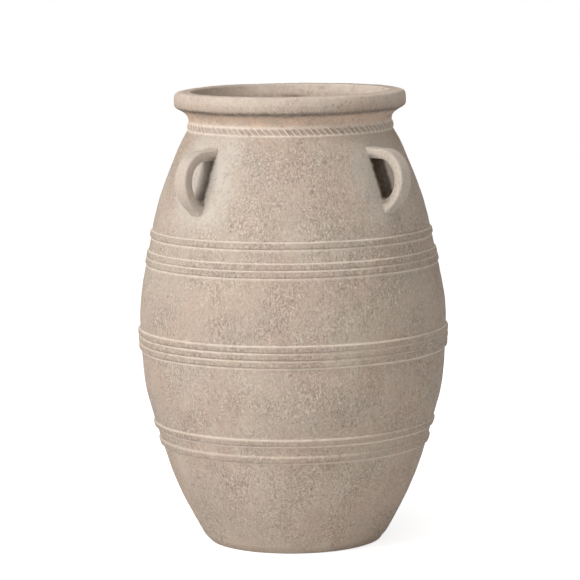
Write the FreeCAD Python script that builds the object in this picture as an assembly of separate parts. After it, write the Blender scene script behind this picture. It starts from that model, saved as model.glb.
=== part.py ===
import FreeCAD, Part
import math
import os

# Greek pithos, a tall clay storage jar, in millimetres
# The foot rests on height zero, the axis is Z and the front faces minus Y
# The jar is built up in rings luted edge to edge, and cordons cover the joints

V = FreeCAD.Vector

# Body
shoulder_height = 696.0
collar_height = 64.0
jar_height = shoulder_height + collar_height
foot_radius = 150.0
belly_radius = 260.5
neck_radius = 170.0
wall_thickness = 18.0
floor_thickness = 20.0
foot_bevel = 9.0
shoulder_lip = 1.6
drain_radius = 14.0

# Corners of the body's outline between foot and neck
# Each is a share of the shoulder's height, then the corner's radius and its bend as shares of the belly
body_corner_shares = [
    (0.155, 0.792, 1.90),
    (0.385, 0.970, 1.05),
    (0.576, 1.000, 1.20),
    (0.825, 0.862, 1.60),
    (0.966, 0.712, 1.00),
]

# Joints between the rings of the wall, which slope up towards the inside
joint_slope_deg = 21.0

# Neck and rim: an upright face over a slanting underside, with a level top
neck_flare = 5.0
neck_flare_height = 9.0
rim_projection = 24.0
rim_face_height = 26.0
rim_slope_deg = 25.0
rim_edge_radius = 5.0
rim_brow_radius = 8.0
lip_width = 28.0

# Cordons: one rib, two ribs side by side, or three
rib_height = 12.2
rib_flank = 3.0
lower_rib_projection = 3.4
middle_rib_projection = 3.9
upper_rib_projection = 2.6
rib_valley_share = 0.35
cordons = [
    ("lower_cordon_below", 0.249, 1, lower_rib_projection),
    ("lower_cordon_above", 0.291, 1, lower_rib_projection),
    ("middle_cordon", 0.499, 3, middle_rib_projection),
    ("upper_cordon_pair", 0.697, 2, upper_rib_projection),
    ("upper_cordon_single", 0.7535, 1, upper_rib_projection),
]

# Rope moulding at the foot of the neck
rope_height = 12.6
rope_projection = 3.3
rope_strands = 96
rope_notch_width = 5.2
rope_notch_depth = 2.4
rope_slant_deg = 42.0

# Ear handles, four round the shoulder
handle_count = 4
handle_first_azimuth = -135.0
handle_height_share = 0.897
finger_radius = 33.0
finger_offset = 7.8
strap_thickness = 15.5
strap_width = 28.0
strap_bevel = 4.5
lower_arm_swell = 8.0
root_depth = 8.0

# Longest part of a run that the bend at one of its ends may take up
run_share = 0.45
full_turn = 360.0


def at(radius, height):
    """A point of the section plane."""
    return V(radius, 0, height)


def line(start, end):
    return Part.LineSegment(start, end).toShape()


def arc(start, middle, end):
    return Part.Arc(start, middle, end).toShape()


def on_circle(centre, radius, angle_deg):
    """The point of a circle in the section plane, counted from the outward side upwards."""
    angle = math.radians(angle_deg)
    return centre + at(radius * math.cos(angle), radius * math.sin(angle))


def inset(points, depth):
    """The corners of the run that lies depth to the left of the given one, going up."""
    moved = []
    for index, point in enumerate(points):
        into = point - points[index - 1] if index else points[1] - point
        out = points[index + 1] - point if point != points[-1] else into
        left = at(-into.z, into.x).normalize() + at(-out.z, out.x).normalize()
        half_turn = into.getAngle(out) / 2
        moved.append(point + left.normalize() * (depth / math.cos(half_turn)))
    return moved


def bend_points(before, corner, after, bend):
    """Start, crown and end of the tangent arc at a corner, no longer than its runs allow."""
    into = (corner - before).normalize()
    out = (after - corner).normalize()
    half_turn = into.getAngle(out) / 2
    shorter = min((corner - before).Length, (after - corner).Length)
    reach = min(bend * math.tan(half_turn), run_share * shorter)
    bulge = reach / math.sin(half_turn) - reach / math.tan(half_turn)
    crown = corner + (out - into).normalize() * bulge
    return corner - into * reach, crown, corner + out * reach


def bent_run(corners):
    """Straight runs between the corners, joined by tangent arcs where a corner has a bend."""
    edges = []
    start = corners[0][0]
    for (before, _), (corner, bend), (after, _) in zip(corners, corners[1:], corners[2:]):
        if bend:
            first, crown, last = bend_points(before, corner, after, bend)
            edges += [line(start, first), arc(first, crown, last)]
            start = last
        else:
            edges.append(line(start, corner))
            start = corner
    edges.append(line(start, corners[-1][0]))
    return edges


def closed_face(edges, *more_points):
    """The face inside a run of edges that is closed by straight lines through more points."""
    points = [edges[-1].Vertexes[-1].Point, *more_points, edges[0].Vertexes[0].Point]
    closing = [line(a, b) for a, b in zip(points, points[1:])]
    return Part.Face(Part.Wire(edges + closing))


def polygon(points):
    return Part.Face(Part.makePolygon(points + points[:1]))


def ring(section):
    """Turns a face of the section plane about the jar's axis."""
    return section.revolve(V(0, 0, 0), V(0, 0, 1), full_turn)


# The rim's lower corner, its underside and the seat where the neck takes over
rim_corner = at(neck_radius + rim_projection, jar_height - rim_face_height)
rim_slope = math.tan(math.radians(rim_slope_deg))
seat_radius = neck_radius + neck_flare
neck_top = at(seat_radius, rim_corner.z - (rim_corner.x - seat_radius) * rim_slope)
neck_end = at(neck_radius, neck_top.z - neck_flare_height)

# The outer outline, from the foot's middle up to the rim's lower corner
foot_corner = at(foot_radius, 0)
body_corners = [
    (at(belly_radius * radius_share, shoulder_height * height_share), belly_radius * bend_share)
    for height_share, radius_share, bend_share in body_corner_shares
]
lowest_run = (body_corners[0][0] - foot_corner).normalize()
neck_foot = at(neck_radius + shoulder_lip, shoulder_height)
neck_start = at(neck_radius, shoulder_height + rope_height / 2)
outer_corners = [
    (at(0, 0), 0), (at(foot_radius - foot_bevel, 0), 0), (foot_corner + lowest_run * foot_bevel, 0),
    *body_corners, (neck_foot, 0), (neck_start, 0), (neck_end, 0), (neck_top, 0), (rim_corner, 0),
]
outer_run = bent_run(outer_corners)
outer_wire = Part.Wire(outer_run)

# Points of the outer face that its inner face and the handles' beds run beside
body_points = [corner for corner, _ in body_corners]
body_crowns = [
    bend_points(before, corner, after, bend)[1]
    for before, (corner, bend), after in zip(
        [foot_corner, *body_points], body_corners, [*body_points[1:], neck_foot]
    )
]
wall_points = [foot_corner, *body_crowns, neck_foot, neck_start, at(neck_radius, jar_height)]


def on_wall(height):
    """The point of the outer face at a height above the foot's edge."""
    level = line(at(foot_radius / 2, height), at(2 * belly_radius, height))
    return outer_wire.distToShape(level)[1][0][0]


def bevel_height(outer_point, radius):
    """Height at a radius of the joint that starts at a point of the outer face."""
    return outer_point.z + (outer_point.x - radius) * math.tan(math.radians(joint_slope_deg))


def hollow_face():
    """Section of the room inside, from the floor up through the mouth."""
    points = inset(wall_points, wall_thickness)
    rise = (floor_thickness - points[0].z) / (points[1].z - points[0].z)
    points[0] += (points[1] - points[0]) * rise
    return polygon([*points, at(0, jar_height), at(0, floor_thickness)])


def cordon_section(height, ribs, projection):
    """Section of a clay strip with ribs side by side, laid on the outer face."""
    half = ribs * rib_height / 2
    foot = on_wall(height - half)
    head = on_wall(height + half)
    along = (head - foot).normalize()
    outward = at(along.z, -along.x)

    def point(up, out):
        return (foot + head) / 2 + along * up + outward * out

    points = [point(-half, -projection), point(-half, 0)]
    for rib in range(ribs):
        low = rib * rib_height - half
        points.append(point(low + rib_flank, projection))
        points.append(point(low + rib_height - rib_flank, projection))
        if rib < ribs - 1:
            points.append(point(low + rib_height, projection * rib_valley_share))
    points += [point(half, 0), point(half, -projection)]
    return polygon(points)


def rope_section():
    """Section of the plain roll that the rope moulding is pressed into."""
    low, high = shoulder_height, shoulder_height + rope_height
    face = neck_radius + rope_projection
    edge = rope_height / 4
    return polygon([
        at(neck_radius, low), at(neck_radius + shoulder_lip, low), at(face, low + edge),
        at(face, high - edge), at(neck_radius, high),
    ])


def rope_notch():
    """The wedge that presses one slanting nick between two strands, at azimuth zero."""
    face = neck_radius + rope_projection
    slant = math.radians(rope_slant_deg)
    along = V(0, -math.sin(slant), math.cos(slant))
    across = V(0, math.cos(slant), math.sin(slant))
    middle = V(face - rope_notch_depth, 0, shoulder_height + rope_height / 2)
    spread = 2
    mouth = V(rope_notch_depth * spread, 0, 0)
    half_mouth = across * (rope_notch_width / 2 * spread)
    start = middle - along * rope_height
    wedge = polygon([start, start + mouth + half_mouth, start + mouth - half_mouth])
    return wedge.extrude(along * (2 * rope_height))


def rope_moulding(section):
    notch = rope_notch()
    notches = []
    for strand in range(rope_strands):
        one = notch.copy()
        one.rotate(V(0, 0, 0), V(0, 0, 1), full_turn * strand / rope_strands)
        notches.append(one)
    return ring(section).cut(notches)


def below_joint(outer_point):
    """The part of the section plane below the joint that starts at a point of the outer face."""
    far = 2 * belly_radius
    return polygon([
        at(0, 0), at(far, 0), at(far, bevel_height(outer_point, far)),
        at(0, bevel_height(outer_point, 0)),
    ])


def rim_section():
    """Section of the rim: underside, upright face, rounded brow, level top and the way down inside."""
    brow = at(rim_corner.x, jar_height)
    lip = at(brow.x - lip_width, jar_height)
    neck_inside = neck_radius - wall_thickness
    inner_end = at(neck_inside, bevel_height(neck_top, neck_inside))
    return closed_face(bent_run([
        (neck_top, 0), (rim_corner, rim_edge_radius), (brow, rim_brow_radius), (lip, 0), (inner_end, 0),
    ]))


def handle(core):
    """One ear handle in the section plane's azimuth, with its roots cut to their beds' depth."""
    height = shoulder_height * handle_height_share
    middle = at(on_wall(height).x + finger_offset, height)
    strap_radius = finger_radius + strap_thickness
    lower_radius = strap_radius + lower_arm_swell
    lower_middle = middle - at(lower_arm_swell, 0)
    inside = middle.x - 2 * finger_radius
    top = on_circle(middle, strap_radius, 90)
    front = on_circle(middle, strap_radius, 0)
    bottom = on_circle(lower_middle, lower_radius, -90)
    hole_bottom = on_circle(middle, finger_radius, -90)
    hole_top = on_circle(middle, finger_radius, 90)
    edges = [
        line(at(inside, top.z), top),
        arc(top, on_circle(middle, strap_radius, 45), front),
        arc(front, on_circle(lower_middle, lower_radius, -45), bottom),
        line(bottom, at(inside, bottom.z)),
        line(at(inside, bottom.z), at(inside, hole_bottom.z)),
        line(at(inside, hole_bottom.z), hole_bottom),
        arc(hole_bottom, on_circle(middle, finger_radius, 0), hole_top),
        line(hole_top, at(inside, hole_top.z)),
        line(at(inside, hole_top.z), at(inside, top.z)),
    ]
    strap = Part.Face(Part.Wire(edges)).extrude(V(0, strap_width, 0))
    strap.translate(V(0, -strap_width / 2, 0))
    rims = [e for e in strap.Edges if abs(abs(e.CenterOfMass.y) - strap_width / 2) < strap_bevel / 2]
    return strap.makeChamfer(strap_bevel, rims).cut(core)


def save(node, shape):
    solid = shape.removeSplitter()
    if len(solid.Solids) != 1 or not solid.isValid():
        raise ValueError(f"{node} has {len(solid.Solids)} solids, valid {solid.isValid()}")
    solid.Solids[0].exportStep(f"parts/{node}.step")
    print(node, round(solid.Volume / 1e6, 3), "litres of clay")


os.makedirs("parts", exist_ok=True)

# The whole wall in section, and the strips of clay that lie on it
outer_face = closed_face(outer_run, at(rim_corner.x, jar_height), at(0, jar_height))
wall_section = outer_face.cut(hollow_face())
cordon_sections = {
    name: cordon_section(shoulder_height * share, ribs, projection).cut(outer_face)
    for name, share, ribs, projection in cordons
}

# The base slab, and the rings that are parted at the joints under the cordons and the rope
slab_section = polygon(
    [at(0, 0), at(belly_radius, 0), at(belly_radius, floor_thickness), at(0, floor_thickness)]
)
drain_hole = Part.makeCylinder(drain_radius, floor_thickness)
base_slab = ring(outer_face.common(slab_section)).cut(drain_hole)

joint_heights = [shoulder_height * cordons[index][1] for index in (1, 2, 3)]
joints = [on_wall(height) for height in joint_heights] + [neck_start, neck_top]
ring_names = ["lower_wall", "lower_belly", "upper_belly", "shoulder", "neck"]
rings = {}
rest_of_wall = wall_section.cut(slab_section)
for name, joint in zip(ring_names, joints):
    below = below_joint(joint)
    rings[name] = ring(rest_of_wall.common(below))
    rest_of_wall = rest_of_wall.cut(below)

# Handles, with their roots bedded in the shoulder
core = ring(polygon([*inset(wall_points, root_depth), at(0, jar_height), at(0, 0)]))
first_handle = handle(core)
handles = []
for number in range(handle_count):
    turned = first_handle.copy()
    turned.rotate(V(0, 0, 0), V(0, 0, 1), handle_first_azimuth + full_turn * number / handle_count)
    handles.append(turned)
rings["shoulder"] = rings["shoulder"].cut(handles)
handle_names = ["handle_front_left", "handle_front_right", "handle_back_right", "handle_back_left"]

save("base_slab", base_slab)
for name, shape in rings.items():
    save(name, shape)
save("rim", ring(rim_section()))
save("neck_rope", rope_moulding(rope_section().cut(outer_face)))
for name, section in cordon_sections.items():
    save(name, ring(section))
for name, shape in zip(handle_names, handles):
    save(name, shape)
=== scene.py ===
import itertools
import math

import bpy
import numpy as np
from mathutils import Matrix, Vector
from mathutils.bvhtree import BVHTree


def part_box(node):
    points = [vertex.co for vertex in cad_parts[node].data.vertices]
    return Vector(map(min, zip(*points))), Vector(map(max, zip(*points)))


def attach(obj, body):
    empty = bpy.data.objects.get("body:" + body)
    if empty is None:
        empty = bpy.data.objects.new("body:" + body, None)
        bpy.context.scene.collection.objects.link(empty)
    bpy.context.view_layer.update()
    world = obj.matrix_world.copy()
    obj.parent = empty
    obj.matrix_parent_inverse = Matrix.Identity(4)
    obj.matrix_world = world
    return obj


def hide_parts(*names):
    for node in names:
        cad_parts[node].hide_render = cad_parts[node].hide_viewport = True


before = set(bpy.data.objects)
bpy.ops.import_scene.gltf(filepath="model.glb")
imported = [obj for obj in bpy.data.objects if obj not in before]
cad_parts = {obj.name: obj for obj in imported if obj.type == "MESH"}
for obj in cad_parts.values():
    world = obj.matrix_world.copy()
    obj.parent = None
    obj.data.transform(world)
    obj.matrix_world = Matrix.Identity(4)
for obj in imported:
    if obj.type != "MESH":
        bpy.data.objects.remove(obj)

# A tall clay jar in metres, dressed node by node over the fixed frame
# The front faces minus Y, and every piece rides on the one body

BODY = "root"
MM = 0.001
FULL_TURN = 2 * math.pi
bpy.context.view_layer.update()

# Grid of the meshes
around_steps = 720
rope_steps = 2304
row_spacing = 2.5 * MM
rib_spacing = 0.8 * MM
rim_spacing = 0.6 * MM
brow_spacing = 1.25 * rib_spacing
rope_spacing = 0.6 * MM
hidden_spacing = 9 * MM
level_step = 0.5 * MM
probe_rows = 25

# The wall's rings from the foot up, and the strips of clay laid over them: how many ribs each
# has, and how clear the pale lines on them are, partly worn clay and partly painted highlight
ring_nodes = ["lower_wall", "lower_belly", "upper_belly", "shoulder", "neck"]
wall_nodes = ["base_slab", *ring_nodes]
cordons = {
    "lower_cordon_below": (1, 0.60),
    "lower_cordon_above": (1, 0.80),
    "middle_cordon": (3, 0.85),
    "upper_cordon_pair": (2, 0.95),
    "upper_cordon_single": (1, 0.90),
}
handle_azimuths = {
    "handle_front_left": -135,
    "handle_front_right": -45,
    "handle_back_right": 45,
    "handle_back_left": 135,
}

# How soft the bends of the outline are: on the body, by the neck and foot and at the rim's lower
# edge, and how far below the rope the shoulder begins to sharpen
body_softness = 9 * MM
neck_softness = 4.2 * MM
foot_softness = 3.6 * MM
rim_softness = 2.2 * MM
shoulder_zone = 50 * MM
lip_zone = 12 * MM

# Relief of the hand-built surface: size of its features and how far they stand out, its share on the
# inner face, and how far the tone of a crest can go, from painted shade to pale worn lines and painted
# highlights
swell_size, swell_height = 150 * MM, 0.9 * MM
dent_size, dent_height = 42 * MM, 0.35 * MM
throwing_size, throwing_height = np.array([120, 120, 11]) * MM, 0.18 * MM
lump_size, lump_height = 9 * MM, 0.10 * MM
grit_size, grit_height = 5 * MM, 0.12 * MM
pit_size, pit_depth, pit_span = 5 * MM, 0.45 * MM, (0.50, 0.85)
pit_patch_size, pit_patch_span = 60 * MM, (-0.2, 0.5)
inner_relief = 0.8
crest_range = (-2, 1)

# Lattice noise: its tilt against the axes, the factors of its hash and the seed of each use
lattice_tilt = {"X": 0.7, "Y": 0.5, "Z": 0.9}
hash_x, hash_y, hash_z = 374761393, 668265263, 1440662683
hash_seed, hash_mix = 974634777, 1274126177
low_word = 0xFFFFFFFF
seeds = {
    "swell": 1, "dent": 2, "throwing": 3, "lump": 4, "grit": 5, "pits": 6, "pit_patches": 7,
    "wash": 8, "rope_pitch": 9, "rope_paint": 10, "shade_band": 11, "gap_shade": 12,
}

# Rim: the upright face, how far its bends reach and its level top
rim_face_height = 26 * MM
brow_reach = 11 * MM
brow_start_share = 1.1
lip_reach = 1.2 * MM
lip_width = 28 * MM
bend_steps = 9
rim_relief = 1.25

# Tones of the rim: its worn parts, painted shade on the lower face under its brow and in the crease at its
# root, and painted shade in the mouth
# Drops are counted down from the jar's top
brow_wear, brow_wear_reach, brow_wear_drop = 0.40, 9 * MM, 10 * MM
lip_wear, lip_wear_drops = 0.20, (4 * MM, 1 * MM)
mouth_wear, mouth_wear_drops = 0.55, (24 * MM, 8 * MM)
inside_shade_drops = (36 * MM, 18 * MM)
crease_shade_tone, crease_rise, crease_width = -1.4, 6.2 * MM, 3.8 * MM
face_shade, face_shade_rises, face_shade_start = -0.38, (-2 * MM, 17 * MM), -4 * MM
# Painted shade inside the mouth: a broken dark band and a darker left side
mouth_shade_tone, mouth_shade_drop, mouth_shade_height, mouth_shade_fade = 1.6, 20.5 * MM, 3 * MM, 60 * MM
mouth_shade_patch_size, mouth_shade_mean, mouth_shade_share, mouth_shade_edge = 17 * MM, 0.70, 1.1, 2 * MM
shelter_shade_tone, shelter_shade_span = 0.6, (-160 * MM, -30 * MM)

# Cordons: the fillet at a rib's foot, a strip's depth into the wall, the valley between two ribs,
# and where on its width a rib rises and falls
rib_foot = 2.0 * MM
rib_fillet = 0.6 * MM
rib_depth = 2.0 * MM
rib_valley_share = 0.38
rib_rise = (0.0, 0.17)
rib_fall = (0.74, 1.03)
rib_arch = 0.07
strip_sink = 0.05 * MM

# Tones across one rib from its lower edge, 0, to its upper edge, 1: painted shade on its face, and above a
# pale line that is partly worn clay and partly a painted highlight
rib_tone_shares = [0.0, 0.06, 0.20, 0.55, 0.72, 0.80, 0.92, 1.0]
rib_wear_and_light_tones = [0.30, -0.20, -0.22, -0.20, -0.20, 0.30, 1.00, 0.80]

# Lines on the wall along a strip's edges: tone, distance from the edge, width and start
line_reach = 1.7 * MM
upper_line_reach = 2.2 * line_reach
line_under_rope = (1.0, 0.0, line_reach, -line_reach)
line_over_rope = (0.9, 0.0, upper_line_reach, -upper_line_reach)
line_under_cordon = (1.2, 1.5 * MM, 1.6 * MM, -1 * MM)
line_over_cordon = (0.15, 0.0, 1.5 * MM, -1 * MM)

# Rope moulding: its strands, how evenly they are pressed, and how strongly the painted highlights on their
# crests and the painted shade in their hollows show
rope_strands = 96
rope_slant = math.radians(42)
rope_hollow_depth = 1.7 * MM
rope_foot = 1.2 * MM
rope_roundness = 3.2
crest_power = 4
hollow_end_power, tone_end_power = 4, 6
rope_patch_size, rope_unevenness = 22 * MM, 1.5
rope_paint_patch_size, rope_paint_mean, rope_paint_share, rope_paint_least = 30 * MM, 0.85, 0.6, 0.3
rope_crest_highlight, rope_hollow_shade = 1.6, 0.55

# Handles: the finger hole's circle, the strap and how its roots spread on the wall
handle_centre_radius = 212.5 * MM
finger_radius = 33 * MM
strap_thickness = 15.5 * MM
strap_width = 28 * MM
strap_wear = 1 * MM
strap_relief = 0.5
strap_squareness = 5.6
hole_drop = 1.8 * MM
hole_depth_share = 0.9
lower_arm_swell = 8 * MM
arm_length = 30 * MM
root_spread, root_reach = 1.5 * MM, 9 * MM
web_spread, web_reach = 8 * MM, 17 * MM
upper_web_share = 0.3
root_depth = 8.5 * MM
handle_stations, arm_stations = 150, 30
strap_sides = 72

# Tones of a strap: its pits, wash and worn edges, and the painted shade on its face towards the finger hole
strap_pits = 0.3
strap_wash = 0.60
strap_edge_wear, strap_edge_power = 0.15, 0.7
strap_shade, hole_face_span = 0.6, (0.3, -0.5)
shade_away, shade_reach = 0.25, (4 * MM, 30 * MM)

# Tones of the wall at a handle: the pale wash round it and the painted shade behind its strap, which differ
# on the left and right half of the jar. Fades are counted from the strap's sides and the hole's ends
wash_reach, wash_height_share, wash_power = 62 * MM, 1.25, 4
wash_patch_size, wash_unevenness = 20 * MM, 0.35
right_wash_share = 0.6
gap_patch_size, gap_unevenness = 5 * MM, 1.4 * MM
left_gap_share = 0.92
right_gap_reach = 7 * MM
left_far_shade, right_far_shade = 0.28, 0.90
far_fade, near_fade, end_fade = (-4 * MM, 6 * MM), (-5 * MM, 1.5 * MM), (-3 * MM, 3 * MM)

# Noise in the clay: size of its features, detail, roughness, shift, and scale up the jar
noise_shapes = {
    "second_clay": (110 * MM, 3, 0.55, 0.0, 1.0),
    "grey": (75 * MM, 4, 0.55, 3.1, 1.0),
    "rust": (45 * MM, 4, 0.6, 11.9, 1.0),
    "lime_wash": (60 * MM, 5, 0.62, 7.3, 0.45),
    "red_neck_painted_lighter": (40 * MM, 3, 0.55, 6.6, 1.0),
    "rough": (70 * MM, 3, 0.55, 2.2, 1.0),
    "fine_grain": (2.0 * MM, 2, 0.6, 5.1, 1.0),
    "coarse_grain": (4.2 * MM, 3, 0.6, 1.7, 1.0),
    "streaks": (6 * MM, 3, 0.6, 6.4, 0.12),
    "strokes": (3.8 * MM, 2, 0.6, 3.7, 0.5),
    "specks": (3.6 * MM, 1, 0.5, 4.4, 0.7),
    "crack_waves": (35 * MM, 3, 0.5, 5.9, 0.07),
    "crack_patches": (50 * MM, 3, 0.55, 9.7, 1.0),
    "broken": (12 * MM, 4, 0.6, 8.1, 1.0),
    "hole_shade": (7 * MM, 3, 0.6, 8.9, 1.0),
    "dullness": (20 * MM, 2, 0.55, 0.0, 1.0),
}

# How strong a layer of the clay is: between two levels of its noise it goes from one strength to another
layer_spans = {
    "second_clay": (0.36, 0.64, 0.0, 1.0),
    "grey": (0.44, 0.70, 0.0, 0.7),
    "rust": (0.58, 0.80, 0.0, 0.30),
    "lime_wash": (0.52, 0.74, 0.0, 0.6),
    "red_neck_painted_lighter": (0.36, 0.62, 0.35, 0.95),
    "rough": (0.36, 0.62, 0.55, 1.10),
    "fine_grain": (0.25, 0.75, -0.15, 0.15),
    "coarse_grain": (0.30, 0.70, -0.07, 0.07),
    "streaks": (0.30, 0.70, -0.045, 0.045),
    "stroke_tone": (0.008, 0.05, -0.12, 0.075),
    "stroke_height": (0.0, 0.06, 0.0, 0.4),
    "dark_specks": (0.62, 0.66, 0.0, -0.20),
    "pale_specks": (0.34, 0.38, 0.42, 0.0),
    "crack_line": (0.001, 0.009, 1.0, 0.0),
    "crack_patches": (0.56, 0.66, 0.0, 0.45),
    "broken": (0.30, 0.62, 0.55, 1.05),
    "pale_line_and_highlight": (0.05, 1.0, 0.0, 0.9),
    "hole_shade": (0.30, 0.65, 0.90, 1.0),
    "dullness": (0.3, 0.7, 0.82, 0.95),
}

# The clay's colours as 0 to 255 display values
clay_colours = {
    "clay": (194, 179, 163),
    "second_clay": (191, 172, 157),
    "grey": (184, 172, 160),
    "rust": (184, 159, 141),
    "lime_wash": (203, 191, 177),
    # Redder neck clay, painted lighter to stand in for light in the rim's shadow
    "red_neck_painted_lighter": (222, 195, 174),
    "handle_wash": (207, 201, 193),
    "pale_specks": (230, 221, 211),
    "pale_line_and_highlight": (232, 219, 206),
    # Painted shade in the pits
    "pits": (140, 118, 100),
    "cracks": (128, 108, 92),
    # Painted shade of the inside, darker down in the jar
    "inside": (138, 122, 100),
    # Painted shade in the finger holes
    "finger_hole_shade": (54, 38, 18),
}

# How fully wash, painted shade in the pits, painted shade inside and painted shade from the tones cover
# the clay, how much smooth places and the rim calm its grain, where the neck's redder clay fades out, and the
# clay's bump and gloss
wash_cover, pit_shade_cover, inside_shade_cover, painted_shade_cover = 0.70, 0.30, 0.70, 0.30
smooth_calm = 0.75
rim_calm, rim_calm_rise = 0.65, 5 * MM
neck_low_fade, neck_high_fade = 4 * MM, 6 * MM
bump_height = 1.3 * MM
clay_specular = 0.25

# Camera, as the photograph was taken
camera_distance = 5.060
camera_aim_height = 0.4221
camera_pitch = math.radians(7.633)
camera_azimuth = math.radians(-1.2)
camera_roll = math.radians(-0.81)
camera_lens = 186.0
camera_sensor = 36.0
frame_pixels = 580
axis_offset_pixels = 2.4

# Light: a soft key high on the left, a weak low one in front, one overhead and the room
jar_middle = (0.0, 0.0, 0.45)
lamps = {
    "key": dict(place=(-3.05, -2.35, 3.05), size=2.2, power=142.0, tint=(1.0, 0.985, 0.965)),
    "fill": dict(place=(0.0, -4.4, 0.7), size=2.6, power=29.0, tint=(1.0, 0.985, 0.975)),
    "overhead": dict(place=(0.3, -1.2, 4.2), size=2.6, power=20.0, tint=(1.0, 1.0, 1.0)),
}
room_strength = 0.35
room_tint = (1.0, 0.97, 0.935, 1.0)
white = (1.0, 1.0, 1.0, 1.0)
floor_half = 30.0
floor_gap = 0.2 * MM
floor_grey = 0.8
floor_glow = tuple(1 - floor_grey * room_strength * share for share in room_tint)


def smoothstep(low, high, values):
    part = np.clip((values - low) / (high - low), 0, 1)
    return part * part * (3 - 2 * part)


def over_edge(edge, reach, values):
    """From 0 to 1 over a reach that is counted from an edge."""
    return smoothstep(edge + reach[0], edge + reach[1], values)


def lattice_noise(points, use):
    """Smooth noise between -1 and 1, from hashed values at the corners of a unit lattice."""
    cell = np.floor(points).astype(np.int64)
    part = points - cell
    part = part ** 3 * (part * (part * 6 - 15) + 10)
    total = np.zeros(len(points))
    for corner in itertools.product((0, 1), repeat=3):
        x, y, z = (cell + corner).T
        mixed = (x * hash_x + y * hash_y + z * hash_z + seeds[use] * hash_seed) & low_word
        mixed = ((mixed ^ (mixed >> 13)) * hash_mix) & low_word
        value = (mixed ^ (mixed >> 16)) / 2 ** 31 - 1
        total += value * np.prod(np.where(corner, part, 1 - part), axis=1)
    return total


def tilted(points):
    """Turns points off the axes, so that the lattice doesn't line up with the jar."""
    turn = Matrix.Identity(3)
    for axis, angle in lattice_tilt.items():
        turn = turn @ Matrix.Rotation(angle, 3, axis)
    return points @ np.array(turn)


def clay_relief(points):
    """How far the hand-built surface stands out of its plain form, and how pitted it is there."""
    turned = tilted(points)
    height = swell_height * lattice_noise(turned / swell_size, "swell")
    height += dent_height * lattice_noise(turned / dent_size, "dent")
    height += throwing_height * lattice_noise(points / throwing_size, "throwing")
    height += lump_height * lattice_noise(turned / lump_size, "lump")
    height += grit_height * lattice_noise(turned / grit_size, "grit")
    pits = smoothstep(*pit_span, lattice_noise(turned / pit_size, "pits"))
    pits *= smoothstep(*pit_patch_span, lattice_noise(turned / pit_patch_size, "pit_patches"))
    return height - pit_depth * pits, pits


def merged_tree(nodes):
    """One search tree over the meshes of some CAD nodes."""
    points, faces = [], []
    for name in nodes:
        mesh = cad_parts[name].data
        first = len(points)
        points += [v.co.copy() for v in mesh.vertices]
        faces += [[first + i for i in p.vertices] for p in mesh.polygons]
    return BVHTree.FromPolygons(points, faces)


def cast_radius(tree, heights, inward):
    """Radius of the outer or inner face at each height, on the side where no handle stands."""
    radii = []
    for height in heights:
        start = Vector((1.0 if inward else 0.0, 0.0, height))
        hit = tree.ray_cast(start, Vector((-1.0 if inward else 1.0, 0.0, 0.0)))[0]
        radii.append(abs(hit.x))
    return np.array(radii)


def softened(heights, radii, softness):
    """The outline with its corners rounded, each row by its own softness."""
    mirrored = 2 * heights[-1] - heights
    beyond = 2 * radii[-1] - radii
    near = np.exp(-((heights[None, :] - heights[:, None]) / softness[:, None]) ** 2 / 2)
    far = np.exp(-((mirrored[None, :] - heights[:, None]) / softness[:, None]) ** 2 / 2)
    return (near @ radii + far @ beyond) / (near.sum(axis=1) + far.sum(axis=1))


def node_span(node):
    """Lowest and highest height of a node."""
    low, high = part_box(node)
    return low[2], high[2]


# The outline of the wall, outside and inside, read from the frame
floor_height = node_span("base_slab")[1]
foot_zone = 3 * floor_height
rope_low, rope_high = node_span("neck_rope")
neck_top = node_span("neck")[1]
mouth_top, jar_top = node_span("rim")
rim_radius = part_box("rim")[1][0]
mouth_radius = rim_radius - lip_width
rim_corner = jar_top - rim_face_height
face_top = jar_top - brow_start_share * brow_reach
handle_middle_height = node_span("handle_front_left")[1] - finger_radius - strap_thickness

levels = np.arange(level_step / 2, face_top + level_step, level_step)
softness_levels = [
    0, floor_height, foot_zone, rope_low - shoulder_zone, rope_low - lip_zone, mouth_top, rim_corner,
]
softness_steps = [
    foot_softness, foot_softness, body_softness, body_softness, neck_softness, neck_softness, rim_softness,
]
outer_radii = softened(
    levels, cast_radius(merged_tree([*wall_nodes, "rim"]), levels, inward=True),
    np.interp(levels, softness_levels, softness_steps),
)
inner_levels = np.arange(floor_height + level_step, neck_top, level_step)
inner_radii = cast_radius(merged_tree(wall_nodes), inner_levels, inward=False)


def outer_radius(height):
    return np.interp(height, levels, outer_radii)


def inner_radius(height):
    return np.interp(height, inner_levels, inner_radii)


def outer_run(low, high, spacing=row_spacing):
    """Points of the outer face between two heights."""
    heights = np.linspace(low, high, max(2, int((high - low) / spacing) + 1))
    return np.stack([outer_radius(heights), heights], axis=1)


def inner_run(high, low):
    """Points of the inner face, going down."""
    heights = np.linspace(high, low, max(2, int((high - low) / (2 * row_spacing)) + 1))
    return np.stack([inner_radius(heights), heights], axis=1)


def straight(start, end, spacing=hidden_spacing):
    count = max(2, int(np.linalg.norm(np.subtract(end, start)) / spacing) + 1)
    return np.linspace(start, end, count)


def rounded_run(corners, reaches, spacing):
    """Straight runs between corners, each corner rounded over its reach to both sides."""
    points = [np.array(corners[0])]
    for before, corner, after, reach in zip(corners, corners[1:], corners[2:], reaches):
        into, out = np.subtract(corner, before), np.subtract(after, corner)
        start = corner - into / np.linalg.norm(into) * reach
        end = corner + out / np.linalg.norm(out) * reach
        share = np.linspace(0, 1, bend_steps)[:, None]
        bend = (1 - share) ** 2 * start + 2 * share * (1 - share) * np.array(corner) + share ** 2 * end
        points += [*straight(points[-1], start, spacing)[1:], *bend[1:]]
    points += [*straight(points[-1], corners[-1], spacing)[1:]]
    return np.array(points)


def run_normals(points):
    """Normals of a run, which point to the right of its way."""
    ahead = np.gradient(points, axis=0)
    normals = np.stack([ahead[:, 1], -ahead[:, 0]], axis=1)
    return normals / np.linalg.norm(normals, axis=1, keepdims=True)


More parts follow.
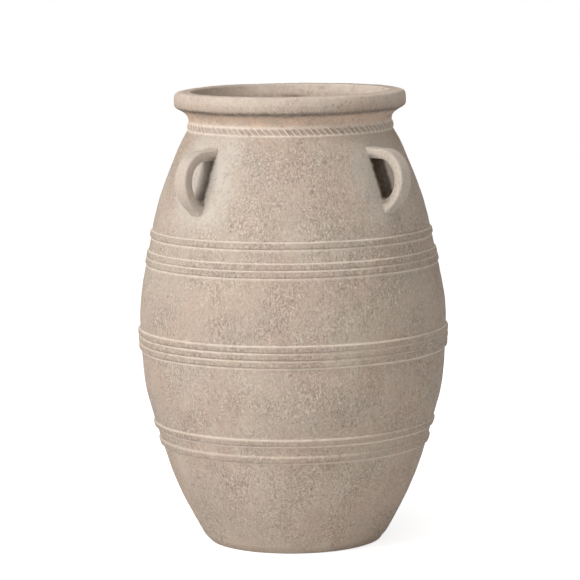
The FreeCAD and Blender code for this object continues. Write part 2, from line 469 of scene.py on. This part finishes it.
class Section:
    """A closed section of runs, each with its relief and the tones of its clay."""

    def __init__(self):
        self.columns = {"points": [], "normals": [], "relief": [], "inside": [], "crest": []}
        self.corners = set()
        self.count = 0

    def add(self, points, relief=1.0, inside=0.0, crest=0.0, keep=slice(None), sharp=False):
        values = {"points": points, "normals": run_normals(points)}
        for name, value in (("relief", relief), ("inside", inside), ("crest", crest)):
            values[name] = np.broadcast_to(np.asarray(value, dtype=float), len(points))
        for name, column in self.columns.items():
            column.append(values[name][keep])
        kept = len(points[keep])
        if sharp:
            self.corners |= {self.count, self.count + kept - 1}
        self.count += kept

    def add_hidden(self, start, end):
        """A straight hidden face between two corners that its neighbours hold."""
        self.add(straight(start, end), relief=0, keep=slice(1, -1))

    def arrays(self):
        return {name: np.concatenate(column) for name, column in self.columns.items()}


def finish_piece(obj, node, material):
    for polygon in obj.data.polygons:
        polygon.use_smooth = True
    obj.data.materials.append(material)
    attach(obj, BODY)
    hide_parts(node)


def mesh_piece(name, points, faces, attributes):
    mesh = bpy.data.meshes.new(name)
    mesh.from_pydata(points.tolist(), [], faces)
    for key, values in attributes.items():
        layer = mesh.attributes.new(key, "FLOAT", "POINT")
        layer.data.foreach_set("value", np.asarray(values, dtype=np.float32))
    mesh.update()
    obj = bpy.data.objects.new(name, mesh)
    bpy.context.scene.collection.objects.link(obj)
    return obj


def grid_faces(rows, columns, closed=True):
    """Quads of a grid whose columns close on themselves, and whose rows may too."""
    row, column = np.meshgrid(np.arange(rows if closed else rows - 1), np.arange(columns), indexing="ij")
    next_row, next_column = (row + 1) % rows, (column + 1) % columns
    corners = [
        row * columns + column, row * columns + next_column,
        next_row * columns + next_column, next_row * columns + column,
    ]
    return np.stack(corners, axis=-1).reshape(-1, 4).tolist()


def sharpen_rows(mesh, rows, steps):
    """Marks the edges that run along some rows of a turned grid as sharp."""
    ends = np.empty(2 * len(mesh.edges), dtype=np.int32)
    mesh.edges.foreach_get("vertices", ends)
    edge_rows = ends.reshape(-1, 2) // steps
    along = (edge_rows[:, 0] == edge_rows[:, 1]) & np.isin(edge_rows[:, 0], sorted(rows))
    mesh.attributes.new("sharp_edge", "BOOLEAN", "EDGE").data.foreach_set("value", along)


def near_handles(points):
    """Across and up from the middle of the nearest handle, the way across counted towards the Y axis."""
    azimuth = np.arctan2(points[:, 1], points[:, 0])
    first = math.radians(min(handle_azimuths.values()))
    step = FULL_TURN / len(handle_azimuths)
    off = (azimuth - first + step / 2) % step - step / 2
    radius = np.hypot(points[:, 0], points[:, 1])
    towards = np.where(np.sin(2 * azimuth) < 0, -1, 1)
    return radius * np.sin(off) * towards, points[:, 2] - handle_middle_height


def handle_tones(points):
    """On the wall: how much pale smooth wash lies round a handle, and the painted shade behind its strap."""
    across, up = near_handles(points)
    left = points[:, 0] < 0
    wash_height = wash_height_share * wash_reach
    wash = np.exp(-(across / wash_reach) ** wash_power - (up / wash_height) ** wash_power)
    wash *= 1 + wash_unevenness * lattice_noise(tilted(points) / wash_patch_size, "wash")
    wash = np.clip(wash, 0, 1) * np.where(left, 1, right_wash_share)
    across = across + gap_unevenness * lattice_noise(tilted(points) / gap_patch_size, "gap_shade")
    half = strap_width / 2
    far_shade = np.where(left, left_far_shade, right_far_shade)
    far_edge = -half - np.where(left, 0, right_gap_reach)
    nearness = smoothstep(np.where(left, -half / 2, -half), np.where(left, half, half / 2), across)
    gap_shade = far_shade + (1 - far_shade) * nearness
    gap_shade *= over_edge(far_edge, far_fade, across)
    gap_shade *= 1 - over_edge(half, near_fade, across)
    gap_shade *= 1 - over_edge(finger_radius, end_fade, np.abs(up))
    return wash, gap_shade * np.where(left, left_gap_share, 1)


def turned_piece(name, node, section, material, steps=around_steps, pressed=None):
    """Turns a closed section about the axis and gives its faces the relief of clay."""
    columns = section.arrays()
    angles = np.arange(steps) * FULL_TURN / steps

    def spread(pairs):
        radius, height = pairs[:, :1], np.repeat(pairs[:, 1:], steps, axis=1)
        return np.stack([radius * np.cos(angles), radius * np.sin(angles), height], axis=-1).reshape(-1, 3)

    base, out = spread(columns["points"]), spread(columns["normals"])
    relief, inside, crest = (np.repeat(columns[key], steps) for key in ("relief", "inside", "crest"))
    height, pits = clay_relief(base)
    move = height * relief
    if pressed is not None:
        depth, tone = pressed(base, np.tile(angles, section.count))
        move -= depth * relief
        crest = np.clip(crest + tone * relief, *crest_range)
    wash, gap_shade = handle_tones(base)
    outside = 1 - np.clip(inside, 0, 1)
    piece = mesh_piece(name, base + out * move[:, None], grid_faces(section.count, steps), {
        "pits": pits * relief, "inside": inside, "crest": crest,
        "wash": wash * outside, "gap_shade": gap_shade * outside,
    })
    sharpen_rows(piece.data, section.corners, steps)
    finish_piece(piece, node, material)


def edge_line(distance, line):
    """Tone of a line along an edge, by the distance from the edge."""
    tone, middle, width, start = line
    return np.where(distance > start, tone * np.exp(-((distance - middle) / width) ** 2), 0)


def wall_tone(heights):
    """Tone of the wall along the edges of the strips that are laid on it."""
    tone = edge_line(rope_low - heights, line_under_rope) + edge_line(heights - rope_high, line_over_rope)
    for node, (_, clearness) in cordons.items():
        low, high = node_span(node)
        tone += clearness * edge_line(low - heights, line_under_cordon)
        tone += edge_line(heights - high, line_over_cordon)
    return np.clip(tone, -1, 1)


def up_to_top(heights, drops):
    """From 0 to 1 between two drops below the jar's top."""
    return smoothstep(jar_top - drops[0], jar_top - drops[1], heights)


def inside_shade(heights):
    """How much painted shade darkens the inside at a height, from none at its open mouth, 0, to full deep
    inside, 1.
    """
    return 1 - up_to_top(heights, inside_shade_drops)


def slab_piece(material):
    """The round base slab, with its rounded foot and drain hole."""
    drain_radius = cast_radius(merged_tree(["base_slab"]), [floor_height / 2], inward=False)[0]
    side = outer_run(levels[0], floor_height)
    bottom = straight([drain_radius, 0.0], [side[0, 0] - foot_softness / 2, 0.0])
    top = straight([side[-1, 0], floor_height], [drain_radius, floor_height])
    section = Section()
    section.add(bottom, relief=0, sharp=True)
    section.add(side, relief=smoothstep(0, 2 * foot_softness, side[:, 1]), sharp=True)
    # The inside floor takes the full painted shade of the inside
    section.add(top, relief=0, inside=1, keep=slice(1, None), sharp=True)
    section.add_hidden(top[-1], bottom[0])
    turned_piece("slab_clay", "base_slab", section, material)


def ring_piece(node, below_node, above_node, material):
    """One ring of the wall, with its sloping joints."""
    outside = outer_run(node_span(node)[0], node_span(above_node)[0])
    inside = inner_run(node_span(node)[1], node_span(below_node)[1])
    section = Section()
    section.add(outside, crest=wall_tone(outside[:, 1]), sharp=True)
    section.add_hidden(outside[-1], inside[0])
    # The inner face gets painted shade, darker further down
    section.add(inside, relief=inner_relief, inside=inside_shade(inside[:, 1]), sharp=True)
    section.add_hidden(inside[-1], outside[0])
    turned_piece(f"{node}_clay", node, section, material)


def mouth_painted_shade(points, _):
    """Painted shade inside the mouth: a broken dark band, and the sheltered left side painted darker."""
    radius = np.hypot(points[:, 0], points[:, 1])
    in_mouth = smoothstep(mouth_radius, mouth_radius - mouth_shade_edge, radius)
    band = np.exp(-((points[:, 2] - jar_top + mouth_shade_drop) / mouth_shade_height) ** 2)
    broken = mouth_shade_mean + mouth_shade_share * lattice_noise(points / mouth_shade_patch_size, "shade_band")
    leftward = 1 - smoothstep(0, mouth_shade_fade, points[:, 0])
    sheltered_shade = 1 - smoothstep(*shelter_shade_span, points[:, 0])
    shade_band = mouth_shade_tone * band * np.clip(broken, 0, 1) * leftward
    return np.zeros(len(points)), -in_mouth * (shade_band + shelter_shade_tone * sheltered_shade)


def rim_piece(material):
    """The rim, from its slanting underside over the upright face and the level top into the neck."""
    mouth_end = [inner_radius(neck_top), neck_top]
    face = outer_run(mouth_top, face_top, rim_spacing)
    face_rise = face[:, 1] - rim_corner
    # Painted shade: a dark line in the crease at the rim's root, and the lower face darker under the brow
    crease = crease_shade_tone * np.exp(-((face[:, 1] - mouth_top - crease_rise) / crease_width) ** 2)
    painted_shade = face_shade * (1 - smoothstep(*face_shade_rises, face_rise)) * (face_rise > face_shade_start)
    worn_face = brow_wear * smoothstep(face_top - brow_wear_drop, face_top, face[:, 1])
    over = rounded_run(
        [face[-1], [rim_radius, jar_top], [mouth_radius, jar_top], mouth_end],
        [brow_reach, lip_reach], brow_spacing,
    )
    beyond_brow = np.maximum(rim_radius - over[:, 0] - brow_reach / 2, 0)
    in_mouth = over[:, 0] < mouth_radius
    worn = brow_wear * np.exp(-beyond_brow ** 2 / brow_wear_reach ** 2)
    worn += lip_wear * up_to_top(over[:, 1], lip_wear_drops)
    worn += mouth_wear * up_to_top(over[:, 1], mouth_wear_drops) * in_mouth
    # Painted shade inside the mouth, darker further down
    down = inside_shade(over[:, 1]) * in_mouth
    section = Section()
    section.add(face, relief=rim_relief, crest=crease + painted_shade + worn_face, sharp=True)
    section.add(over, relief=rim_relief, crest=worn, inside=down, keep=slice(1, None), sharp=True)
    section.add_hidden(mouth_end, face[0])
    turned_piece("rim_clay", "rim", section, material, pressed=mouth_painted_shade)


def laid_strip(name, node, profile, foot, spacing, material, steps=around_steps, pressed=None):
    """A strip laid over the wall, whose profile gives its thickness and tone along the wall."""
    low, high = node_span(node)
    heights = np.arange(low - foot, high + foot + spacing / 2, spacing)
    wall = np.stack([outer_radius(heights), heights], axis=1)
    along = np.concatenate([[0], np.cumsum(np.linalg.norm(np.diff(wall, axis=0), axis=1))])
    out, tone = profile(along - along[-1] / 2, along[-1] / 2 - foot)
    normals = run_normals(wall)
    back = (wall - normals * rib_depth)[::-1]
    # The hidden back gets by with every third row, clear of both edges
    section = Section()
    section.add(wall + normals * out[:, None], crest=tone)
    section.add(back[2:-2:3])
    turned_piece(name, node, section, material, steps, pressed)


def standing_height(node):
    """How far a laid strip's face stands out of the wall."""
    low, high = node_span(node)
    heights = np.linspace(low, high, probe_rows)[1:-1]
    lean = run_normals(outer_run(low, high))[0, 0]
    faces = cast_radius(merged_tree([node]), heights, inward=True)
    return np.max(faces - outer_radius(heights)) * lean


def strip_fillet(beyond, foot):
    """The fillet at a strip's foot, by the way beyond the strip's edge."""
    return rib_fillet * np.clip(1 - beyond / foot, 0, 1) ** 2


def cordon_piece(node, ribs, clearness, material):
    """A strip with ribs side by side: each has an undercut lower edge and an upper ledge, pale with wear and
    a painted highlight.
    """
    projection = standing_height(node)
    low, high = node_span(node)

    def profile(along, half):
        place = np.clip((along + half) / (2 * half) * ribs, 0, ribs)
        number = np.minimum(np.floor(place), ribs - 1)
        part = place - number
        bump = smoothstep(*rib_rise, part) * (1 - smoothstep(*rib_fall, part))
        bump *= 1 - rib_arch + rib_arch * np.sin(math.pi * part)
        valley = np.where(part < 0.5, number > 0, number < ribs - 1) * rib_valley_share
        beyond = np.maximum(np.abs(along) - half, 0)
        out = np.maximum(projection * np.maximum(bump, valley), strip_fillet(beyond, rib_foot)) - strip_sink
        heights = np.where(along > 0, high + beyond, low - beyond)
        # Painted shade on the rib's face, and a pale worn line with a painted highlight on its upper ledge
        tone = np.interp(part, rib_tone_shares, rib_wear_and_light_tones)
        tone = np.where(tone > 0, clearness * tone, tone)
        return out, np.where(np.abs(along) > half, wall_tone(heights), tone)

    laid_strip(f"{node}_clay", node, profile, rib_foot, rib_spacing, material)


def rope_piece(material):
    """The roped moulding at the neck's foot, pressed into slanting cells with narrow crests."""
    projection = standing_height("neck_rope")
    middle = (rope_low + rope_high) / 2
    half_height = (rope_high - rope_low) / 2
    slant = math.tan(rope_slant) / (outer_radius(rope_high) + projection)

    def profile(along, half):
        across = np.clip(np.abs(along) / half, 0, 1)
        line = np.exp(-((np.abs(along) - half) / line_reach) ** 2)
        fillet = strip_fillet(np.maximum(np.abs(along) - half, 0), rope_foot)
        return np.maximum(projection * (1 - across ** rope_roundness), fillet) - strip_sink, line

    def cells(points, angles):
        up = points[:, 2] - middle
        uneven = rope_unevenness * lattice_noise(points / rope_patch_size, "rope_pitch")
        paint_strength = rope_paint_mean + rope_paint_share * lattice_noise(points / rope_paint_patch_size, "rope_paint")
        crest = (0.5 + 0.5 * np.cos((angles + up * slant) * rope_strands + uneven)) ** crest_power
        along = np.clip(np.abs(up) / half_height, 0, 1)
        depth = rope_hollow_depth * (1 - crest) * (1 - along ** hollow_end_power)
        # Painted highlight on the narrow crests and painted shade in the hollows
        tone = (rope_crest_highlight * crest - rope_hollow_shade) * (1 - along ** tone_end_power)
        return depth, tone * np.clip(paint_strength, rope_paint_least, 1)

    laid_strip("rope_clay", "neck_rope", profile, rope_foot, rope_spacing, material, rope_steps, cells)


def handle_rails():
    """Inner and outer edge of the strap in the jar's section plane, from its upper root down."""
    centre = np.array([handle_centre_radius, handle_middle_height])
    angles = np.linspace(math.pi / 2, -math.pi / 2, handle_stations)
    ring = np.stack([np.cos(angles), np.sin(angles)], axis=1)
    swell = lower_arm_swell * (angles < 0)
    inner = centre - np.array([0.0, hole_drop]) + finger_radius * ring * np.array([hole_depth_share, 1.0])
    outer = centre + (finger_radius + strap_thickness + swell)[:, None] * ring
    outer[:, 0] -= swell
    arm = np.linspace(arm_length, 0, arm_stations, endpoint=False)[:, None] * np.array([-1.0, 0.0])
    return np.concatenate([inner[0] + arm, inner]), np.concatenate([outer[0] + arm, outer])


def handle_piece(node, azimuth, material):
    """An ear handle: a rounded strap bent to a C, whose roots spread on the shoulder."""
    inner, outer = handle_rails()
    middle, half = (inner + outer) / 2, (outer - inner) / 2
    stations = len(middle)
    clear = np.maximum(middle[:, 0] - outer_radius(middle[:, 1]), 0)
    spread = root_spread * np.clip(1 - clear / root_reach, 0, 1) ** 2
    web = web_spread * np.clip(1 - clear / web_reach, 0, 1) ** 2
    web *= np.where(middle[:, 1] > handle_middle_height, upper_web_share, 1)
    thickness = np.linalg.norm(half, axis=1)
    turn = np.arange(strap_sides) * FULL_TURN / strap_sides
    across, beside = (np.sign(v) * np.abs(v) ** (2 / strap_squareness) for v in (np.cos(turn), np.sin(turn)))
    reach = across * (1 + (web / thickness)[:, None] * np.maximum(across, 0))
    radial = middle[:, :1] + half[:, :1] * reach
    height = middle[:, 1:] + half[:, 1:] * reach
    width = (strap_width / 2 - strap_wear + spread)[:, None] * beside
    points = np.stack([radial, width, height], axis=-1)
    out = points - np.stack([middle[:, 0], 0 * clear, middle[:, 1]], axis=-1)[:, None, :]
    points = points.reshape(-1, 3)
    out = (out / np.linalg.norm(out, axis=-1, keepdims=True)).reshape(-1, 3)
    turned = np.array(Matrix.Rotation(math.radians(azimuth), 3, "Z")).T
    relief, pits = clay_relief(points @ turned)
    points += out * (strap_relief * relief)[:, None]
    deepest = outer_radius(points[:, 2]) - root_depth
    points[:, :2] *= np.maximum(1, deepest / np.hypot(points[:, 0], points[:, 1]))[:, None]
    last_ring = np.arange(strap_sides) + (stations - 1) * strap_sides
    faces = grid_faces(stations, strap_sides, closed=False)
    faces += [np.arange(strap_sides).tolist(), last_ring[::-1].tolist()]
    # Painted shade on the strap's face towards the hole, strongest near the wall
    hole_face = np.tile(smoothstep(*hole_face_span, across), stations)
    near_wall = shade_away + (1 - shade_away) * (1 - smoothstep(*shade_reach, clear))
    worn_edge = np.tile(np.abs(across * beside) ** strap_edge_power, stations)
    piece = mesh_piece(f"{node}_clay", points @ turned, faces, {
        "pits": strap_pits * pits, "inside": 0 * pits, "crest": strap_edge_wear * worn_edge,
        "wash": strap_wash + 0 * pits, "gap_shade": strap_shade * hole_face * np.repeat(near_wall, strap_sides),
    })
    finish_piece(piece, node, material)


def colour(name):
    """One of the clay's colours, from display values to the linear ones of a shader."""
    shares = [value / 255 for value in clay_colours[name]]
    return [s / 12.92 if s <= 0.04045 else ((s + 0.055) / 1.055) ** 2.4 for s in shares] + [1.0]


class Shading:
    """A material's node tree, built one node at a time."""

    def __init__(self, name):
        self.material = bpy.data.materials.new(name)
        self.material.use_nodes = True
        self.tree = self.material.node_tree
        self.shader = self.tree.nodes["Principled BSDF"]
        self.place = self.node("ShaderNodeTexCoord").outputs["Object"]

    def node(self, kind, inputs=(), **settings):
        node = self.tree.nodes.new(kind)
        for name, value in settings.items():
            setattr(node, name, value)
        for key, value in dict(inputs).items():
            self.feed(node.inputs[key], value)
        return node

    def feed(self, socket, value):
        if isinstance(value, bpy.types.NodeSocket):
            self.tree.links.new(value, socket)
        else:
            socket.default_value = value

    def height(self):
        return self.node("ShaderNodeSeparateXYZ", {0: self.place}).outputs["Z"]

    def noise(self, name):
        """One of the clay's noises, from 0 to 1."""
        size, detail, roughness, shift, upward = noise_shapes[name]
        place = {"Vector": self.place, "Scale": (1.0, 1.0, upward), "Location": (shift, shift, shift)}
        where = self.node("ShaderNodeMapping", place).outputs["Vector"]
        settings = {"Vector": where, "Scale": 1 / size, "Detail": detail, "Roughness": roughness}
        return self.node("ShaderNodeTexNoise", settings).outputs["Fac"]

    def between(self, value, low, high, to_low=0.0, to_high=1.0):
        span = {"Value": value, "From Min": low, "From Max": high, "To Min": to_low, "To Max": to_high}
        return self.node("ShaderNodeMapRange", span, interpolation_type="SMOOTHSTEP").outputs["Result"]

    def strength(self, name, value):
        """How strong one of the clay's layers is where its noise has this value."""
        return self.between(value, *layer_spans[name])

    def layer(self, name):
        """How strong one of the clay's layers is from place to place."""
        return self.strength(name, self.noise(name))

    def maths(self, operation, first, *others):
        """The same operation on a value and each of the others in turn."""
        for other in others:
            first = self.node("ShaderNodeMath", {0: first, 1: other}, operation=operation).outputs[0]
        return first

    def product(self, *values):
        return self.maths("MULTIPLY", *values)

    def total(self, *values):
        return self.maths("ADD", *values)

    def remainder(self, value):
        return self.maths("SUBTRACT", 1.0, value)

    def off_middle(self, value):
        """How far a noise is from its middle level, to either side."""
        off = self.maths("SUBTRACT", value, 0.5)
        return self.node("ShaderNodeMath", {0: off}, operation="ABSOLUTE").outputs[0]

    def mix(self, factor, first, second, mode="MIX"):
        values = {0: factor, 6: first, 7: second}
        return self.node("ShaderNodeMix", values, data_type="RGBA", blend_type=mode).outputs[2]

    def scaled(self, base, level):
        """A colour made lighter or darker by a level near 1."""
        grey = self.node("ShaderNodeCombineColor", {0: level, 1: level, 2: level}).outputs[0]
        return self.mix(1.0, base, grey, "MULTIPLY")

    def attribute(self, name):
        return self.node("ShaderNodeAttribute", attribute_name=name).outputs["Fac"]


def clay_body(clay):
    """The clay's own colour in large soft patches, with the remains of a lime wash."""
    body = colour("clay")
    for name in ("second_clay", "grey", "rust", "lime_wash"):
        body = clay.mix(clay.layer(name), body, colour(name))
    return body


def clay_neck(clay):
    """Where the redder clay of the sheltered neck shows, 0 to 1; its colour is painted lighter to stand in
    for light in the rim's shadow.
    """
    above = clay.between(clay.height(), rope_high, rope_high + neck_low_fade)
    below = clay.between(clay.height(), mouth_top, mouth_top + neck_high_fade, 1, 0)
    return clay.product(above, below, clay.layer("red_neck_painted_lighter"))


def clay_grain(clay, calm, strokes):
    """How rough the clay is, how light it is at each grain, about 1, and where its pale specks are."""
    rough = clay.product(clay.layer("rough"), clay.remainder(clay.product(calm, smooth_calm)))
    specks = clay.noise("specks")
    grain = clay.total(
        clay.layer("fine_grain"), clay.strength("stroke_tone", strokes), clay.strength("dark_specks", specks),
        clay.layer("coarse_grain"), clay.layer("streaks"),
    )
    pale = clay.product(clay.strength("pale_specks", specks), rough)
    return rough, clay.total(clay.product(grain, rough), 1.0), pale


def clay_cracks(clay, smooth):
    """Hairline cracks, 0 to 1, thin and mostly upright, on a few patches."""
    line = clay.strength("crack_line", clay.off_middle(clay.noise("crack_waves")))
    return clay.product(line, clay.layer("crack_patches"), clay.remainder(smooth))


def clay_material():
    """Unglazed fired clay, lime washed and weathered, with painted shade and highlights laid in its colour.
    """
    clay = Shading("weathered_clay")
    pits, inside, crest = clay.attribute("pits"), clay.attribute("inside"), clay.attribute("crest")
    smooth, gap_shade = clay.attribute("wash"), clay.attribute("gap_shade")
    broken = clay.layer("broken")
    strokes = clay.off_middle(clay.noise("strokes"))
    on_rim = clay.between(clay.height(), rim_corner, rim_corner + rim_calm_rise, 0, rim_calm)
    rough, level, specks = clay_grain(clay, clay.maths("MAXIMUM", smooth, crest, on_rim), strokes)
    # Painted shade: tones below zero darken the clay
    painted_shade = clay.product(clay.maths("MAXIMUM", clay.product(crest, -1.0), 0.0), painted_shade_cover, broken)
    body = clay.mix(clay_neck(clay), clay_body(clay), colour("red_neck_painted_lighter"))
    body = clay.mix(clay.product(smooth, wash_cover), body, colour("handle_wash"))
    body = clay.mix(specks, clay.scaled(body, level), colour("pale_specks"))
    # Pale worn lines and painted highlights from the tones above zero
    body = clay.mix(clay.product(clay.strength("pale_line_and_highlight", crest), broken), body, colour("pale_line_and_highlight"))
    # Painted shade in the pits: darker, browner clay where the relief is pitted
    body = clay.mix(clay.product(pits, pit_shade_cover), body, colour("pits"))
    body = clay.mix(clay_cracks(clay, smooth), body, colour("cracks"))
    # Painted shade inside the jar
    body = clay.mix(clay.product(inside, inside_shade_cover), body, colour("inside"))
    # Painted shade darkens the colour
    body = clay.scaled(body, clay.remainder(painted_shade))
    # Painted shade behind the straps, in the finger holes
    body = clay.mix(clay.product(gap_shade, clay.layer("hole_shade")), body, colour("finger_hole_shade"))
    ground = clay.total(clay.noise("coarse_grain"), clay.strength("stroke_height", strokes))
    bump = clay.node("ShaderNodeBump", {"Height": ground, "Strength": rough, "Distance": bump_height})
    clay.feed(clay.shader.inputs["Base Color"], body)
    clay.feed(clay.shader.inputs["Roughness"], clay.layer("dullness"))
    clay.feed(clay.shader.inputs["Normal"], bump.outputs["Normal"])
    clay.shader.inputs["Specular IOR Level"].default_value = clay_specular
    return clay.material


def place_camera():
    camera = bpy.data.objects.new("camera", bpy.data.cameras.new("camera"))
    bpy.context.scene.collection.objects.link(camera)
    camera.data.lens = camera_lens
    camera.data.sensor_width = camera_sensor
    camera.data.shift_x = -axis_offset_pixels / frame_pixels
    away = Vector((
        math.sin(camera_azimuth) * math.cos(camera_pitch),
        -math.cos(camera_azimuth) * math.cos(camera_pitch),
        math.sin(camera_pitch),
    ))
    camera.location = Vector((0, 0, camera_aim_height)) + away * camera_distance
    turn = away.to_track_quat("Z", "Y").to_matrix() @ Matrix.Rotation(camera_roll, 3, "Z")
    camera.rotation_euler = turn.to_euler()
    bpy.context.scene.camera = camera


def area_light(name, place, size, power, tint):
    lamp = bpy.data.lights.new(name, "AREA")
    lamp.shape = "DISK"
    lamp.size = size
    lamp.energy = power
    lamp.color = tint
    obj = bpy.data.objects.new(name, lamp)
    bpy.context.scene.collection.objects.link(obj)
    obj.location = place
    obj.rotation_euler = (Vector(place) - Vector(jar_middle)).to_track_quat("Z", "Y").to_euler()


def show_to_lens(tree, plain, shown, output):
    """Feeds one shader to camera, glossy and transmission rays, and the plain one to the rest."""
    path = tree.nodes.new("ShaderNodeLightPath")
    seen = path.outputs["Is Camera Ray"]
    for ray in ("Is Glossy Ray", "Is Transmission Ray"):
        either = tree.nodes.new("ShaderNodeMath")
        either.operation = "MAXIMUM"
        tree.links.new(seen, either.inputs[0])
        tree.links.new(path.outputs[ray], either.inputs[1])
        seen = either.outputs[0]
    pick = tree.nodes.new("ShaderNodeMixShader")
    tree.links.new(seen, pick.inputs[0])
    tree.links.new(plain.outputs[0], pick.inputs[1])
    tree.links.new(shown.outputs[0], pick.inputs[2])
    tree.links.new(pick.outputs[0], output)


def light_scene():
    world = bpy.data.worlds.new("studio")
    bpy.context.scene.world = world
    world.use_nodes = True
    tree = world.node_tree
    room = tree.nodes["Background"]
    room.inputs["Color"].default_value = room_tint
    room.inputs["Strength"].default_value = room_strength
    backdrop = tree.nodes.new("ShaderNodeBackground")
    backdrop.inputs["Color"].default_value = white
    backdrop.inputs["Strength"].default_value = 1.0
    show_to_lens(tree, room, backdrop, tree.nodes["World Output"].inputs["Surface"])
    for name, lamp in lamps.items():
        area_light(name, **lamp)


def lay_floor():
    """A pale floor, which the lens sees as white with the jar's soft shadow on it."""
    floor = Shading("pale_floor")
    floor.shader.inputs["Base Color"].default_value = (floor_grey, floor_grey, floor_grey, 1.0)
    floor.shader.inputs["Roughness"].default_value = 1.0
    floor.shader.inputs["Specular IOR Level"].default_value = 0.0
    glow = floor.node("ShaderNodeEmission", {"Color": floor_glow, "Strength": 1.0})
    both = floor.node("ShaderNodeAddShader", {0: floor.shader.outputs[0], 1: glow.outputs[0]})
    show_to_lens(floor.tree, floor.shader, both, floor.tree.nodes["Material Output"].inputs["Surface"])
    mesh = bpy.data.meshes.new("floor")
    corners = [(-1, -1), (1, -1), (1, 1), (-1, 1)]
    mesh.from_pydata([(x * floor_half, y * floor_half, -floor_gap) for x, y in corners], [], [(0, 1, 2, 3)])
    mesh.materials.append(floor.material)
    obj = bpy.data.objects.new("floor", mesh)
    bpy.context.scene.collection.objects.link(obj)


clay = clay_material()
slab_piece(clay)
for below_node, node, above_node in zip(wall_nodes, ring_nodes, [*ring_nodes[1:], "rim"]):
    ring_piece(node, below_node, above_node, clay)
rim_piece(clay)
rope_piece(clay)
for node, (ribs, clearness) in cordons.items():
    cordon_piece(node, ribs, clearness, clay)
for node, azimuth in handle_azimuths.items():
    handle_piece(node, azimuth, clay)

place_camera()
light_scene()
lay_floor()
bpy.context.scene.view_settings.view_transform = "Standard"
